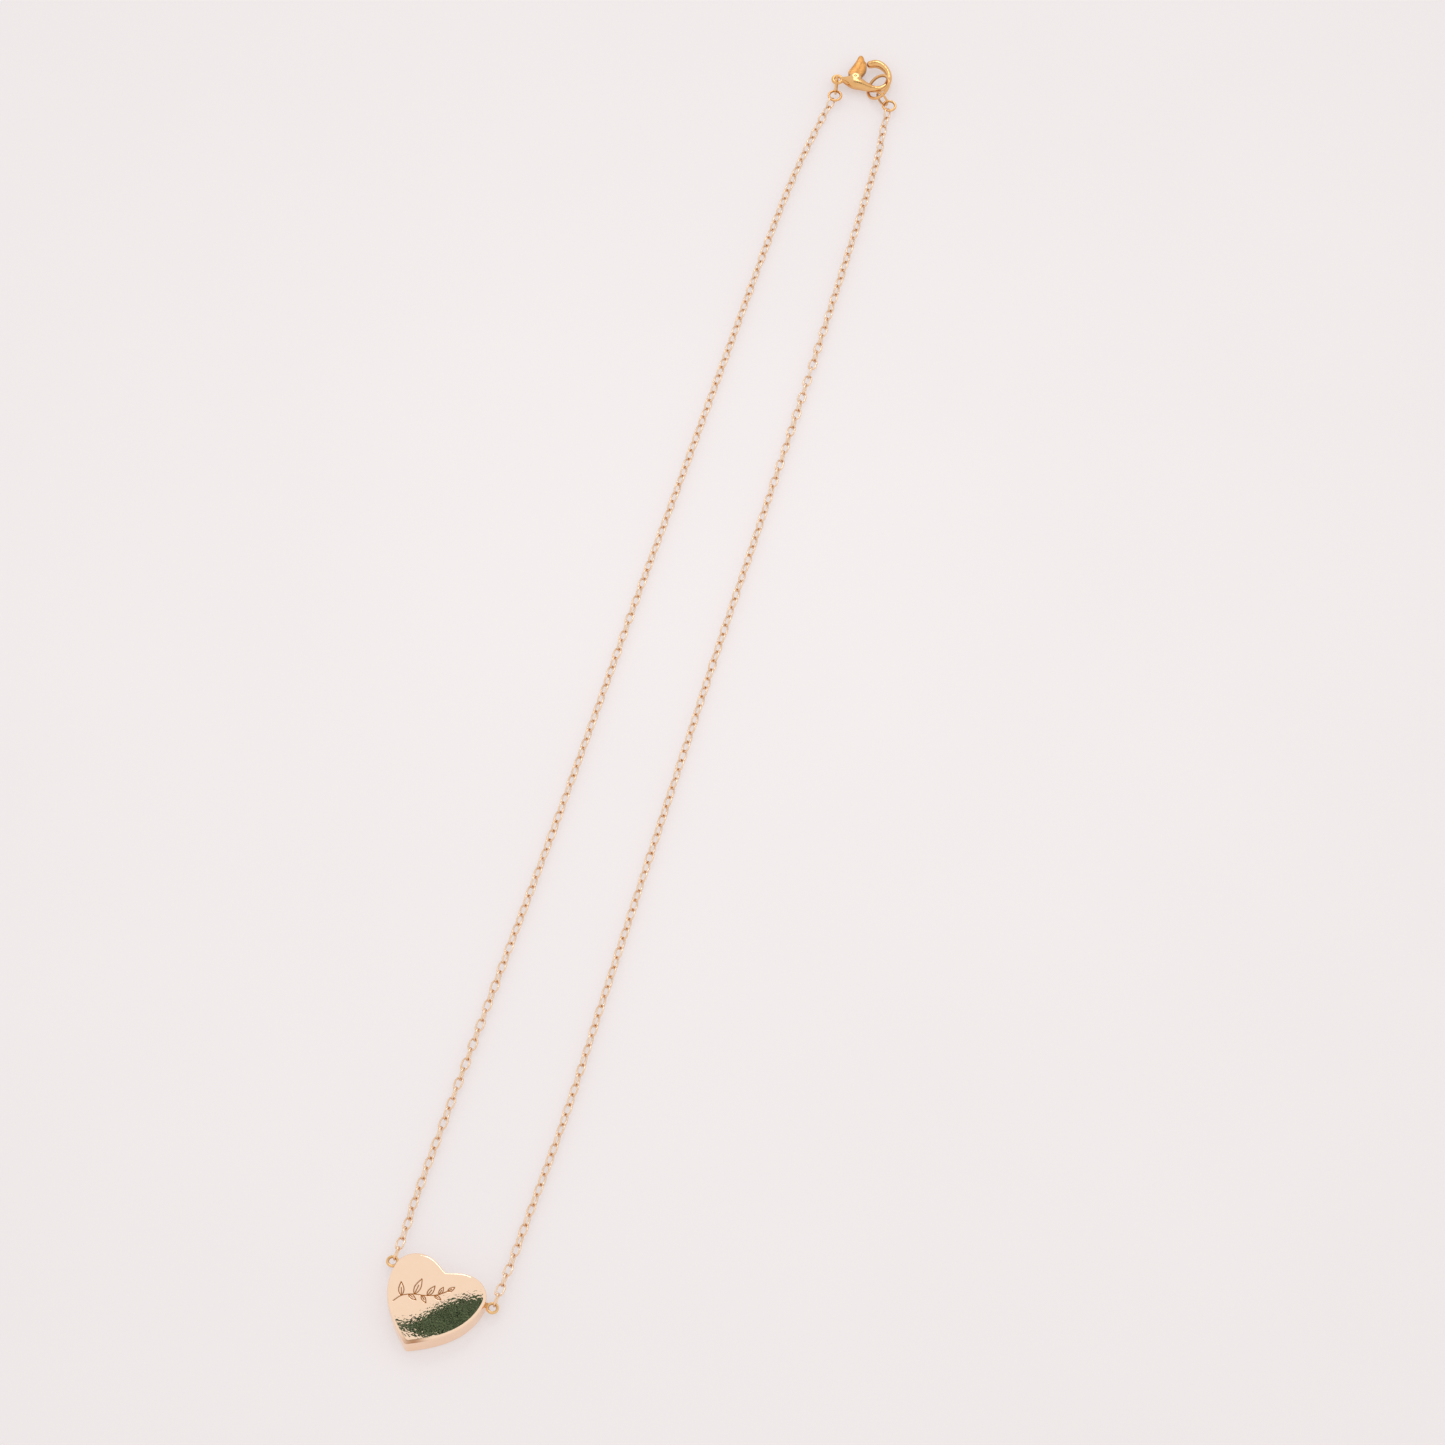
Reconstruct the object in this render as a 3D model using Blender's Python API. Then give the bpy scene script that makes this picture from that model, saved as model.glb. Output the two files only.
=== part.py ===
"""Fine heart pendant necklace: a polished heart between two lengths of cable chain, closed by a lobster clasp.

Frame: the heart lies on its flat back, face up (+Z). +Y runs from the heart's tip through its notch,
towards the clasp, and the origin is the middle of the heart's back. Metres.
"""

import math

import bmesh
import bpy
import numpy as np
from mathutils import Matrix, Vector

MM = 0.001

# The heart: half width, tip, notch and lobe tops of its outline, then its thickness.
HEART_HALF_WIDTH = 6.8 * MM
HEART_WIDEST_Y = 3.2 * MM
HEART_TIP_Y = -6.55 * MM
HEART_NOTCH_Y = 5.1 * MM
HEART_LOBE_TOP = (3.4 * MM, 6.25 * MM)
HEART_WALL_TOP = 2.9 * MM
HEART_THICKNESS = 3.2 * MM

# Flat rings soldered to the heart's two sides.
RING_X = 7.72 * MM
RING_Y = 3.85 * MM
RING_Z = 1.2 * MM
RING_RADIUS = 0.69 * MM
RING_WIRE = 0.21 * MM

# Cable chain links: outer length and width, wire radius, and the spacing of link after link.
LINK_LENGTH = 2.2 * MM
LINK_WIDTH = 1.35 * MM
LINK_WIRE = 0.15 * MM
LINK_PITCH = LINK_LENGTH - 4 * LINK_WIRE

# Clear distance from a knee's pivot to the end of the chain length beside it.
KNEE_GAP = 0.25 * MM
END_LINK_GAP = 0.40 * MM
END_RING_GAP = 1.05 * MM
LEFT_LINKS = (22, 22, 22, 22, 21, 21)
RIGHT_LINKS = (22, 22, 22, 22, 22, 22)

# The chain's middle line on each side, from its end link up to its end ring.
LEFT_ROUTE = [
    (-7.93, 5.92, 1.20), (-8.7, 10.0, 0.92), (-9.8, 15.0, 0.70), (-13.0, 33.7, 0.70),
    (-16.3, 53.3, 0.70), (-19.7, 73.5, 0.70), (-23.4, 94.1, 0.70), (-27.3, 115.4, 0.70),
    (-31.1, 137.4, 0.70), (-35.1, 160.1, 0.70), (-39.2, 183.4, 0.70), (-41.0, 195.6, 0.70),
    (-41.9, 206.0, 0.72), (-42.0, 213.0, 1.25),
]
RIGHT_ROUTE = [
    (7.50, 5.92, 1.20), (6.9, 10.0, 0.92), (6.1, 15.0, 0.70), (3.1, 33.5, 0.70),
    (-0.7, 52.6, 0.70), (-4.6, 72.2, 0.70), (-8.6, 92.5, 0.70), (-12.7, 113.3, 0.70),
    (-16.8, 135.0, 0.70), (-21.1, 157.2, 0.70), (-25.7, 180.0, 0.70), (-30.3, 202.0, 0.70),
    (-32.3, 209.0, 0.72), (-34.0, 216.0, 1.25),
]

# Rings at the clasp end of the chains.
END_RING_RADIUS = 0.95 * MM
END_RING_WIRE = 0.20 * MM
JUMP_RING_WIRE = 0.18 * MM
JUMP_PLAY = 0.06 * MM
CATCH_RING_RADIUS = 2.05 * MM
CATCH_RING_WIRE = 0.25 * MM
CATCH_RING_TILT = math.radians(38.0)
# Middle of the catch ring, in the clasp's U and V, and its height.
CATCH_RING_PLACE = (6.45 * MM, -1.75 * MM)
CATCH_RING_Z = 1.50 * MM
# Where round the catch ring its jump ring hangs.
CATCH_JOIN_ANGLE = math.radians(-100.0)
CATCH_JOIN_INSET = 0.6 * MM
FLOOR_GAP = 0.02 * MM

# The clasp lies along its own line: U from its tail eye to the claw, V towards the lever's thumb tab.
CLASP_TAIL = (-43.03 * MM, 214.75 * MM, 1.22 * MM)
CLASP_ANGLE = math.radians(27.0)
TAIL_EYE_RADIUS = 0.68 * MM
TAIL_EYE_WIRE = 0.30 * MM
# Middle line of the claw: U, V, half width, half thickness.
CLAW = [
    (0.85, 0.00, 0.46, 0.40), (1.65, -0.25, 0.85, 0.70), (2.6, -0.60, 1.12, 0.86), (3.5, -0.98, 1.00, 0.84),
    (4.5, -1.50, 0.72, 0.70), (5.6, -1.92, 0.54, 0.56), (6.8, -1.90, 0.48, 0.52), (7.75, -1.20, 0.48, 0.52),
    (8.15, 0.10, 0.48, 0.54), (8.00, 1.30, 0.50, 0.58), (7.30, 2.45, 0.58, 0.64), (6.3, 3.08, 0.66, 0.66),
    (5.17, 2.97, 0.60, 0.58),
]
PIVOT = (2.85 * MM, 0.10 * MM)
PIVOT_CHEEK_RADIUS = 0.92 * MM
PIN_RADIUS = 0.24 * MM
PIN_FIT = 0.02 * MM
CHEEK_HALF_THICKNESS = 0.84 * MM
SLOT_HALF_THICKNESS = 0.42 * MM
LEVER_HALF_THICKNESS = 0.36 * MM
LEVER_HUB_RADIUS = 0.52 * MM
LEVER_HUB_ARC = (math.radians(150), math.radians(330))
# The lever's edge beyond its hub, from the pivot: up the gate's side, round the thumb tab, down its back.
LEVER_GATE = [(0.80, 0.20), (1.38, 0.90), (1.72, 1.60), (1.84, 2.30), (1.78, 2.90), (1.52, 3.30)]
LEVER_TAB = [(1.42, 3.75), (1.30, 4.15), (1.05, 4.38), (0.78, 4.38), (0.55, 4.10)]
LEVER_BACK = [(0.15, 3.20), (-0.30, 2.30), (-0.70, 1.50), (-0.80, 0.95)]
# The slot in the body that the lever turns in, from the pivot.
SLOT_OUTLINE = [(-1.5, -0.80), (1.1, -0.80), (2.5, 2.6), (-1.5, 2.6)]
PIN_HEAD = 0.05 * MM
THROUGH = 2 * MM
# The spring leaf's bend round the pivot, its half thickness and its half width.
SPRING_BEND_RADIUS = 0.66 * MM
SPRING_ARC = (math.radians(205), math.radians(335))
SPRING_HALF_LEAF = 0.05 * MM
SPRING_HALF_WIDTH = 0.25 * MM


def clear_scene():
    for old in list(bpy.data.objects):
        bpy.data.objects.remove(old)


def material(name, colour, roughness, metallic=1.0):
    made = bpy.data.materials.new(name)
    made.use_nodes = True
    shader = made.node_tree.nodes["Principled BSDF"]
    shader.inputs["Base Color"].default_value = (*colour, 1.0)
    shader.inputs["Roughness"].default_value = roughness
    shader.inputs["Metallic"].default_value = metallic
    return made


def add(name, data, finish, parent=None, matrix=None):
    """One named object in the scene, with its own copy of a finish."""
    made = bpy.data.objects.new(name, data)
    bpy.context.scene.collection.objects.link(made)
    own = finish.copy()
    own.name = name + "_" + finish.name
    data.materials.append(own)
    if matrix is not None:
        made.matrix_world = matrix
    if parent is not None:
        made.parent = parent
        made.matrix_parent_inverse = parent.matrix_world.inverted()
    return made


def empty(name, place):
    """A pivot: an empty on a joint's axis, which the moving piece is parented to."""
    made = bpy.data.objects.new(name, None)
    bpy.context.scene.collection.objects.link(made)
    made.empty_display_size = 0.002
    made.matrix_world = Matrix.Translation(place)
    bpy.context.view_layer.update()
    return made


def grid_mesh(name, rings, close_ends=True):
    """A closed skin over a stack of rings of points, capped at both ends, with its faces pointing out."""
    mesh = bpy.data.meshes.new(name)
    count, around = len(rings), len(rings[0])
    verts = [tuple(p) for ring in rings for p in ring]
    faces = []
    for i in range(count - 1 if close_ends else count):
        for j in range(around):
            a, b = i * around, ((i + 1) % count) * around
            k = (j + 1) % around
            faces.append((a + j, a + k, b + k, b + j))
    if close_ends:
        faces.append(tuple(reversed(range(around))))
        faces.append(tuple((count - 1) * around + j for j in range(around)))
    mesh.from_pydata(verts, [], faces)
    work = bmesh.new()
    work.from_mesh(mesh)
    bmesh.ops.recalc_face_normals(work, faces=work.faces)
    work.to_mesh(mesh)
    work.free()
    mesh.shade_smooth()
    mesh.set_sharp_from_angle(angle=math.radians(40))
    return mesh


def bezier(a, b, c, d, steps):
    """Points along a cubic curve, leaving out its last one."""
    t = np.linspace(0.0, 1.0, steps, endpoint=False)[:, None]
    a, b, c, d = (np.array(p, float) for p in (a, b, c, d))
    return (1 - t) ** 3 * a + 3 * (1 - t) ** 2 * t * b + 3 * (1 - t) * t * t * c + t**3 * d


def smooth_line(points):
    """A Catmull-Rom curve through the given points, and the distance along it of each of its points."""
    p = np.array(points, float)
    p = np.vstack([2 * p[0] - p[1], p, 2 * p[-1] - p[-2]])
    found = []
    for i in range(1, len(p) - 2):
        t = np.linspace(0.0, 1.0, 40, endpoint=False)[:, None]
        a, b, c, d = p[i - 1], p[i], p[i + 1], p[i + 2]
        found.append(
            0.5 * (2 * b + (c - a) * t + (2 * a - 5 * b + 4 * c - d) * t**2 + (3 * b - a - 3 * c + d) * t**3)
        )
    line = np.vstack(found + [p[-2:-1]])
    along = np.concatenate([[0.0], np.cumsum(np.linalg.norm(np.diff(line, axis=0), axis=1))])
    return line, along


def at(line, along, distance):
    return np.array([np.interp(distance, along, line[:, k]) for k in range(3)])


def heart_outline():
    """The heart's edge, anticlockwise from its notch: two mirrored halves of three curves each."""
    top_x, top_y = HEART_LOBE_TOP
    side = (HEART_HALF_WIDTH, HEART_WIDEST_Y)
    left_of_tip = (0.35 * MM, HEART_TIP_Y + 0.12 * MM)
    half = np.vstack([
        bezier((0, HEART_NOTCH_Y), (0.7 * MM, HEART_NOTCH_Y + 0.1 * MM), (top_x - 1.5 * MM, top_y), HEART_LOBE_TOP, 9),
        bezier(HEART_LOBE_TOP, (top_x + 1.9 * MM, top_y), (side[0], side[1] + 1.7 * MM), side, 12),
        bezier(side, (side[0] + 0.1 * MM, -0.6 * MM), (4.7 * MM, -3.6 * MM), left_of_tip, 18),
        bezier(left_of_tip, (0.2 * MM, HEART_TIP_Y + 0.02 * MM), (0.1 * MM, HEART_TIP_Y), (0, HEART_TIP_Y), 3),
        [(0, HEART_TIP_Y)],
    ])
    mirrored = half[1:-1][::-1] * (-1, 1)
    return np.vstack([half, mirrored])


def make_heart(finish):
    """Flat back, upright polished wall, soft shoulder and a slightly domed face."""
    edge = heart_outline()
    rise = HEART_THICKNESS - HEART_WALL_TOP
    profile = [(0.955, 0.0), (0.985, 0.06 * MM), (1.0, 0.22 * MM), (1.0, HEART_WALL_TOP - 0.45 * MM)]
    profile += [(0.992, HEART_WALL_TOP - 0.2 * MM), (0.968, HEART_WALL_TOP - 0.05 * MM)]
    profile += [(s, HEART_WALL_TOP + rise * (1 - (s / 0.935) ** 2)) for s in (0.935, 0.75, 0.5, 0.25)]
    rings = [[(x * s, y * s, z) for x, y in edge] for s, z in profile]
    mesh = grid_mesh("heart", rings)
    return add("heart_pendant", mesh, finish)


def ring_mesh(name, radius, wire, around=28, sides=10):
    """A round ring of round wire in its own XY plane."""
    rings = []
    for i in range(around):
        a = 2 * math.pi * i / around
        rings.append([
            (
                (radius + wire * math.cos(2 * math.pi * j / sides)) * math.cos(a),
                (radius + wire * math.cos(2 * math.pi * j / sides)) * math.sin(a),
                wire * math.sin(2 * math.pi * j / sides),
            )
            for j in range(sides)
        ])
    return grid_mesh(name, rings, close_ends=False)


def link_mesh(name, arc_steps=8, sides=8):
    """One oval link standing on edge: two straight sides and two half-round ends, along its own Y."""
    bend = LINK_WIDTH / 2 - LINK_WIRE
    straight = LINK_LENGTH / 2 - LINK_WIRE - bend
    path = []
    for end in (1, -1):
        for i in range(arc_steps + 1):
            a = math.pi * i / arc_steps + (0 if end > 0 else math.pi)
            path.append((end * straight + bend * math.sin(a), bend * math.cos(a), a))
    rings = []
    for along, up, a in path:
        out = (math.sin(a), math.cos(a))
        rings.append([
            (
                LINK_WIRE * math.sin(2 * math.pi * j / sides),
                along + out[0] * LINK_WIRE * math.cos(2 * math.pi * j / sides),
                up + out[1] * LINK_WIRE * math.cos(2 * math.pi * j / sides),
            )
            for j in range(sides)
        ])
    return grid_mesh(name, rings, close_ends=False)


def place_frame(origin, forward, up=(0, 0, 1)):
    """A matrix with its Y along forward and its Z as near up as it can be."""
    y = Vector(forward).normalized()
    x = y.cross(Vector(up)).normalized()
    z = x.cross(y)
    m = Matrix((x, y, z)).transposed().to_4x4()
    m.translation = Vector(origin)
    return m


def make_pendant_rings(finish):
    mesh = ring_mesh("pendant_ring", RING_RADIUS, RING_WIRE)
    for side, x in (("left", -RING_X), ("right", RING_X)):
        add(f"pendant_ring_{side}", mesh.copy(), finish, matrix=Matrix.Translation((x, RING_Y, RING_Z)))


def chain_tube(name, line, along, start, end, finish, parent):
    """One length of chain as a plain tube as wide as its links."""
    curve = bpy.data.curves.new(name, "CURVE")
    curve.dimensions = "3D"
    curve.bevel_depth = LINK_WIDTH / 2
    curve.bevel_resolution = 2
    curve.use_fill_caps = True
    spline = curve.splines.new("POLY")
    points = [at(line, along, d) for d in np.linspace(start, end, 7)]
    spline.points.add(len(points) - 1)
    pivot = parent.matrix_world.translation
    for made, p in zip(spline.points, points):
        made.co = (*(Vector(p) - pivot), 1.0)
    return add(name, curve, finish, parent, Matrix.Translation(pivot))


def make_side(side, ring_x, route, links, finish, bright):
    """End link, chain lengths and their pivots on one side. Returns the chain's end and direction."""
    line, along = smooth_line(np.array(route) * MM)
    hinge = Vector((ring_x, RING_Y + RING_RADIUS, RING_Z))
    start = Vector(at(line, along, 0.0))
    toward = (start - hinge).normalized()
    lift = empty(f"lift_{side}", hinge)
    link_middle = start - toward * (LINK_PITCH / 2)
    add(f"end_link_{side}", link_mesh("end_link"), bright, lift, place_frame(link_middle, toward))
    distance, previous = 0.0, lift
    for number, count in enumerate(links, 1):
        pivot = empty(f"knee_{side}_{number}", Vector(at(line, along, distance)))
        pivot.parent = previous
        pivot.matrix_parent_inverse = previous.matrix_world.inverted()
        bpy.context.view_layer.update()
        first = distance + (END_LINK_GAP if number == 1 else KNEE_GAP)
        distance += count * LINK_PITCH
        last = distance - (END_RING_GAP if number == len(links) else KNEE_GAP)
        chain_tube(f"chain_{side}_{number}", line, along, first, last, finish, pivot)
        previous = pivot
    end = Vector(at(line, along, distance))
    ahead = Vector(at(line, along, distance + 0.5 * MM)) - end
    return end, ahead.normalized()


def swept_bar(name, stations, steps=5, sides=12):
    """A rounded bar along a curve in its own XY plane, whose width and thickness change along it."""
    s = np.array(stations) * MM
    line, _ = smooth_line(s)
    keep = np.linspace(0, len(line) - 1, (len(s) - 1) * steps + 1).astype(int)
    middle, width, thick = line[keep, :2], line[keep, 2], line[keep, 3]
    ahead = np.gradient(middle, axis=0)
    ahead /= np.linalg.norm(ahead, axis=1)[:, None]
    across = np.stack([-ahead[:, 1], ahead[:, 0]], 1)
    rings = []
    # Each end closes in over two smaller rings, so that it is rounded.
    ends = [(0, -0.75, 0.55), (0, -0.45, 0.85)] + [(i, 0.0, 1.0) for i in range(len(keep))]
    ends += [(len(keep) - 1, 0.45, 0.85), (len(keep) - 1, 0.75, 0.55)]
    for i, beyond, size in ends:
        base = middle[i] + ahead[i] * beyond * width[i]
        ring = []
        for j in range(sides):
            a = 2 * math.pi * j / sides
            q = base + across[i] * width[i] * size * math.cos(a)
            ring.append((q[0], q[1], thick[i] * size * math.sin(a)))
        rings.append(ring)
    return grid_mesh(name, rings)


def plate_mesh(name, outline, half_thickness):
    """A flat plate of the given outline, centred on its own XY plane."""
    rings = [[(x, y, z) for x, y in outline] for z in (-half_thickness, half_thickness)]
    return grid_mesh(name, rings)


def disc(centre, radius, start=0.0, stop=2 * math.pi, steps=24):
    """Points round a circle, or round part of one."""
    full = abs(stop - start) > 2 * math.pi - 0.01
    count = steps if full else steps + 1
    return [
        (centre[0] + radius * math.cos(a), centre[1] + radius * math.sin(a))
        for a in (start + (stop - start) * i / steps for i in range(count))
    ]


def combine(target, tool, operation):
    """One Boolean on target, whose tool stays in the scene as a wire helper."""
    step = target.modifiers.new(operation.lower(), "BOOLEAN")
    step.operation = operation
    step.object = tool
    tool.hide_render = True
    tool.display_type = "WIRE"


def helper(name, mesh, matrix):
    made = bpy.data.objects.new(name, mesh)
    bpy.context.scene.collection.objects.link(made)
    made.matrix_world = matrix
    return made


def make_clasp(frame, finish, steel):
    body = add("clasp_body", swept_bar("claw", CLAW), finish, matrix=frame)
    eye = helper("cut_tail_eye", ring_mesh("tail_eye", TAIL_EYE_RADIUS, TAIL_EYE_WIRE), frame)
    combine(body, eye, "UNION")
    cheek = helper("cut_cheek", plate_mesh("cheek", disc(PIVOT, PIVOT_CHEEK_RADIUS), CHEEK_HALF_THICKNESS), frame)
    combine(body, cheek, "UNION")
    px, py = PIVOT
    slot_outline = [(px + x * MM, py + y * MM) for x, y in SLOT_OUTLINE]
    slot = helper("cut_slot", plate_mesh("slot", slot_outline, SLOT_HALF_THICKNESS), frame)
    combine(body, slot, "DIFFERENCE")
    hole = helper("cut_pin_hole", plate_mesh("hole", disc(PIVOT, PIN_RADIUS + PIN_FIT), THROUGH), frame)
    combine(body, hole, "DIFFERENCE")
    pin = plate_mesh("pin", disc((0, 0), PIN_RADIUS), CHEEK_HALF_THICKNESS + PIN_HEAD)
    pivot_place = frame @ Matrix.Translation((px, py, 0))
    add("clasp_pin", pin, finish, matrix=pivot_place)
    make_lever(pivot_place, finish)
    make_spring(frame, steel)


def make_lever(pivot_place, finish):
    """Gate and thumb tab in one piece, on its hub."""
    pivot = empty("clasp_lever_pivot", pivot_place.translation)
    outline = disc((0, 0), LEVER_HUB_RADIUS, *LEVER_HUB_ARC, 12)
    outline += [(x * MM, y * MM) for x, y in LEVER_GATE + LEVER_TAB + LEVER_BACK]
    lever = add("clasp_lever", plate_mesh("lever", outline, LEVER_HALF_THICKNESS), finish, pivot, pivot_place)
    bore = helper("cut_lever_bore", plate_mesh("bore", disc((0, 0), PIN_RADIUS + 2 * PIN_FIT), THROUGH), pivot_place)
    combine(lever, bore, "DIFFERENCE")
    return lever


def make_spring(frame, steel):
    """The small bent leaf in the slot that pushes the lever shut."""
    px, py = PIVOT
    outline = disc((px, py), SPRING_BEND_RADIUS + SPRING_HALF_LEAF, *SPRING_ARC, 8)
    outline += disc((px, py), SPRING_BEND_RADIUS - SPRING_HALF_LEAF, *SPRING_ARC, 8)[::-1]
    add("clasp_spring", plate_mesh("spring", outline, SPRING_HALF_WIDTH), steel, matrix=frame)


def upright_ring(name, start, end, wire, finish):
    """A ring standing on edge just clear of the table, whose wire passes through two points."""
    flat = Vector((end.x - start.x, end.y - start.y, 0.0))

    def reaches(radius):
        height = radius + wire + FLOOR_GAP
        return [math.sqrt(max(radius**2 - (height - p.z) ** 2, 0.0)) for p in (start, end)]

    low, high = flat.length / 4, flat.length * 2
    for _ in range(40):
        radius = (low + high) / 2
        if sum(reaches(radius)) < flat.length:
            low = radius
        else:
            high = radius
    middle = start + flat.normalized() * reaches(radius)[0]
    middle.z = radius + wire + FLOOR_GAP
    matrix = place_frame(middle, flat) @ Matrix.Rotation(math.pi / 2, 4, "Y")
    add(name, ring_mesh(name, radius, wire), finish, matrix=matrix)


def make_clasp_rings(left_end, left_ahead, frame, finish):
    """The flat ring at the end of the left chain and the jump ring that ties it to the tail eye."""
    middle = left_end + left_ahead * (END_RING_RADIUS - END_RING_WIRE)
    mesh = ring_mesh("end_ring", END_RING_RADIUS, END_RING_WIRE)
    add("end_ring_left", mesh, finish, matrix=Matrix.Translation(middle))
    eye = frame.translation
    toward = (eye - middle).normalized()
    inside_ring = middle + toward * (END_RING_RADIUS - END_RING_WIRE - JUMP_RING_WIRE - JUMP_PLAY)
    inside_eye = eye - toward * (TAIL_EYE_RADIUS - TAIL_EYE_WIRE - JUMP_RING_WIRE - JUMP_PLAY)
    upright_ring("jump_ring_left", inside_ring, inside_eye, JUMP_RING_WIRE, finish)


def make_catch_rings(right_end, right_ahead, frame, finish):
    """The flat ring at the end of the right chain, its jump ring, and the ring that the claw holds."""
    middle = right_end + right_ahead * (END_RING_RADIUS - END_RING_WIRE)
    mesh = ring_mesh("end_ring", END_RING_RADIUS, END_RING_WIRE)
    add("end_ring_right", mesh, finish, matrix=Matrix.Translation(middle))
    u, v = CATCH_RING_PLACE
    place = frame @ Matrix.Translation((u, v, CATCH_RING_Z - frame.translation.z))
    catch = place @ Matrix.Rotation(-CATCH_RING_TILT, 4, "Y")
    catch_mesh = ring_mesh("catch_ring", CATCH_RING_RADIUS, CATCH_RING_WIRE)
    add("catch_ring", catch_mesh, finish, matrix=catch)
    rim = catch @ Vector((
        (CATCH_RING_RADIUS - CATCH_JOIN_INSET) * math.cos(CATCH_JOIN_ANGLE),
        (CATCH_RING_RADIUS - CATCH_JOIN_INSET) * math.sin(CATCH_JOIN_ANGLE),
        0.0,
    ))
    toward = (rim - middle).normalized()
    inside_ring = middle + toward * (END_RING_RADIUS - END_RING_WIRE - JUMP_RING_WIRE - JUMP_PLAY)
    upright_ring("jump_ring_right", inside_ring, rim, JUMP_RING_WIRE, finish)


def main():
    clear_scene()
    gold = material("polished_gold", (0.93, 0.68, 0.42), 0.14)
    chain_gold = material("chain_gold", (0.90, 0.62, 0.36), 0.22)
    steel = material("spring_steel", (0.55, 0.54, 0.52), 0.3)
    make_heart(gold)
    make_pendant_rings(gold)
    left_end, left_ahead = make_side("left", -RING_X, LEFT_ROUTE, LEFT_LINKS, chain_gold, gold)
    right_end, right_ahead = make_side("right", RING_X, RIGHT_ROUTE, RIGHT_LINKS, chain_gold, gold)
    frame = Matrix.Translation(CLASP_TAIL) @ Matrix.Rotation(CLASP_ANGLE, 4, "Z")
    make_clasp(frame, gold, steel)
    make_clasp_rings(left_end, left_ahead, frame, gold)
    make_catch_rings(right_end, right_ahead, frame, gold)


main()
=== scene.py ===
"""Heart pendant necklace on a pale table: a polished engraved heart between two lengths of fine cable
chain, closed by a lobster clasp. Metres, in the part's own frame: the heart lies on its back, +Y runs up
through its notch to the clasp."""

import math

import bmesh
import bpy
import numpy as np
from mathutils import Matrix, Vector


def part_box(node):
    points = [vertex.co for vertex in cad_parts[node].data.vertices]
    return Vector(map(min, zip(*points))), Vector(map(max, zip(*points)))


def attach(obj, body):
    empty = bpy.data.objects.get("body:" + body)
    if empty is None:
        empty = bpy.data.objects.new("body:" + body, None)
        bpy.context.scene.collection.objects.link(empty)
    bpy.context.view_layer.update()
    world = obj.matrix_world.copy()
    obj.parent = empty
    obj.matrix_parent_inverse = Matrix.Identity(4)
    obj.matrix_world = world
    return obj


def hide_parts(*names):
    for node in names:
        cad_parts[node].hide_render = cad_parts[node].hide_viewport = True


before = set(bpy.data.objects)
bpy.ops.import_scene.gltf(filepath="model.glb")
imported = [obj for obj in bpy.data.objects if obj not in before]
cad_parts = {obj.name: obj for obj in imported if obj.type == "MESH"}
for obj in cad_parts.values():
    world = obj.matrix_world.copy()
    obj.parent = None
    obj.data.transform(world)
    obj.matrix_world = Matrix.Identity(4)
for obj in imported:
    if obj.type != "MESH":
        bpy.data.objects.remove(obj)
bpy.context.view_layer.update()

MM = 0.001
scene = bpy.context.scene
scene.view_settings.view_transform = "Standard"

# ---- Camera: stands at the tip's side of the necklace, above the table, and looks down over the heart
# with the clasp far behind it. A long lens, so the two chains hardly draw together.
lens = bpy.data.cameras.new("long_lens")
lens.sensor_width = 36.0
lens.lens = 118.85
lens.clip_start = 0.02
lens.clip_end = 20.0
camera = bpy.data.objects.new("camera", lens)
camera.location = (0.1543, -0.2183, 0.5968)
camera.rotation_euler = (math.radians(30.93), 0.0, math.radians(26.69))
scene.collection.objects.link(camera)
scene.camera = camera


# ---- Table, room light and a dark studio flag. The table is a smooth sheet of pale pinkish card. The room
# is white all round. The flag hangs over the heart, out of view, and shows only in polished metal.
def linear(colour):
    """sRGB hex to linear RGBA, by the two-part sRGB curve."""
    parts = np.array([int(colour[i : i + 2], 16) for i in (1, 3, 5)]) / 255
    return (*np.where(parts <= 0.04045, parts / 12.92, ((parts + 0.055) / 1.055) ** 2.4), 1.0)


def add_node(tree, kind, values=None, links=None, **settings):
    """Adds one node, with its properties, its socket values and the outputs that feed its inputs."""
    made = tree.nodes.new("ShaderNode" + kind)
    for key, value in settings.items():
        setattr(made, key, value)
    for key, value in (values or {}).items():
        made.inputs[key].default_value = value
    for key, source in (links or {}).items():
        tree.links.new(source, made.inputs[key])
    return made


def finish_named(name):
    """A new material and its node tree, empty but for its output."""
    made = bpy.data.materials.new(name)
    made.use_nodes = True
    made.node_tree.nodes.clear()
    return made, made.node_tree, made.node_tree.nodes.new("ShaderNodeOutputMaterial")


def object_from(name, mesh, finish):
    """A new object at the origin that shows the mesh in one finish."""
    made = bpy.data.objects.new(name, mesh)
    mesh.materials.append(finish)
    scene.collection.objects.link(made)
    return made


LINE_STEPS = 40


def smooth_line(points):
    """Catmull-Rom curve through the points, LINE_STEPS to a span, and the distance along it of each point."""
    p = np.array(points, float)
    p = np.vstack([2 * p[0] - p[1], p, 2 * p[-1] - p[-2]])
    t = np.linspace(0.0, 1.0, LINE_STEPS, endpoint=False)[None, :, None]
    a, b, c, d = (p[i : len(p) - 3 + i, None] for i in range(4))
    bent = (2 * a - 5 * b + 4 * c - d) * t**2 + (3 * b - a - 3 * c + d) * t**3
    spans = 0.5 * (2 * b + (c - a) * t + bent)
    line = np.vstack([spans.reshape(-1, p.shape[1]), p[-2:-1]])
    steps = np.linalg.norm(np.diff(line, axis=0), axis=1)
    return line, np.concatenate([[0.0], np.cumsum(steps)])


# Coated card: pale, matt, with a faint cloudiness and a fine tooth. It glows, though it is no lamp: painted
# light, most in a painted pool of light under the necklace, so that shadows stay faint.
CARD_CLOUD = 40 * MM
CARD_TOOTH = 0.4 * MM
CARD_TOOTH_HEIGHT = 0.004 * MM
CARD_PAINTED_GLOW = (0.375, 0.485)
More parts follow.
